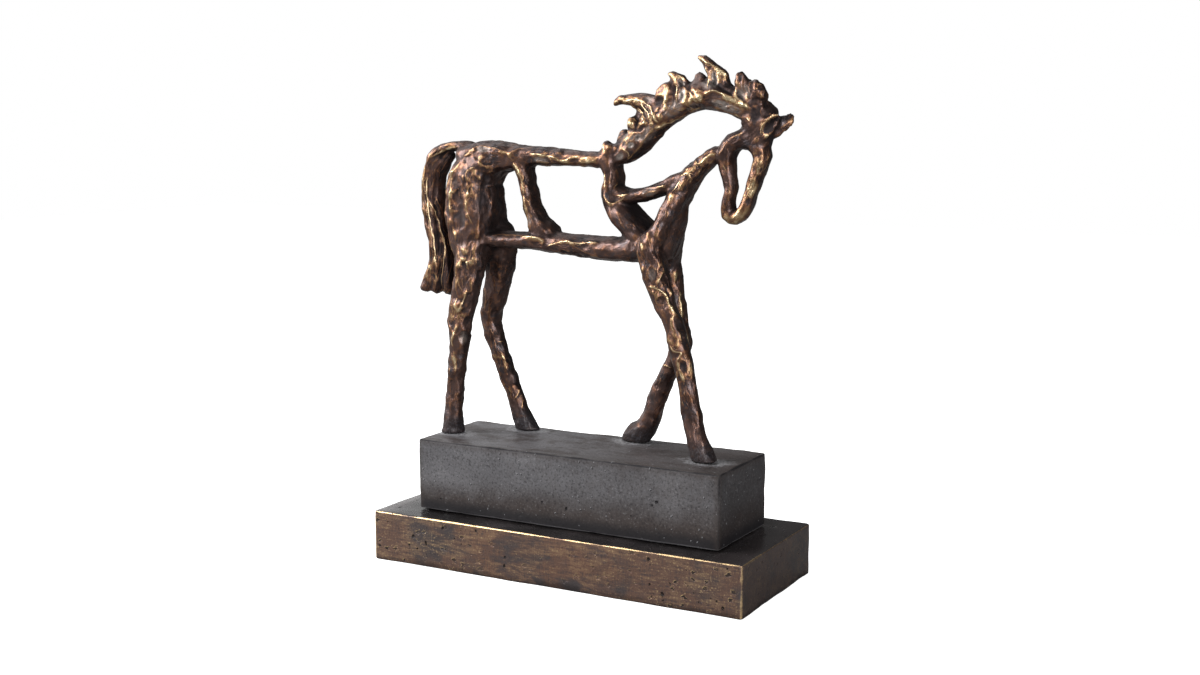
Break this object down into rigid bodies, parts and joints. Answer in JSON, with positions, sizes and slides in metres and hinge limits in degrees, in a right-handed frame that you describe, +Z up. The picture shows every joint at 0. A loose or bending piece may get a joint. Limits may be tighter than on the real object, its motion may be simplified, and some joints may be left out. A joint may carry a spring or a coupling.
{
  "type": "horse sculpture",
  "caption": "Openwork cast bronze horse walking on a charcoal stone-like block and a low bronze slab, a tabletop sculpture that stands by its own weight.",
  "frame": {"origin": "middle of the slab's underside", "axes": "+X from tail to head, +Z up, +Y from the near side to the far side of the horse"},
  "size_m": [0.38, 0.1554, 0.4687],
  "materials": {
    "horse_bronze": "cast bronze, dark brown patina with gold rubbed on the ridges",
    "charcoal_block": "charcoal grey cast stone, fine pits, matt",
    "slab_bronze": "aged bronze, streaked and pitted sides, dark glossy top, worn gold edges"
  },
  "bodies": {
    "root": {"horse": "horse_bronze", "plinth_block": "charcoal_block", "base_slab": "slab_bronze"}
  },
  "joints": []
}
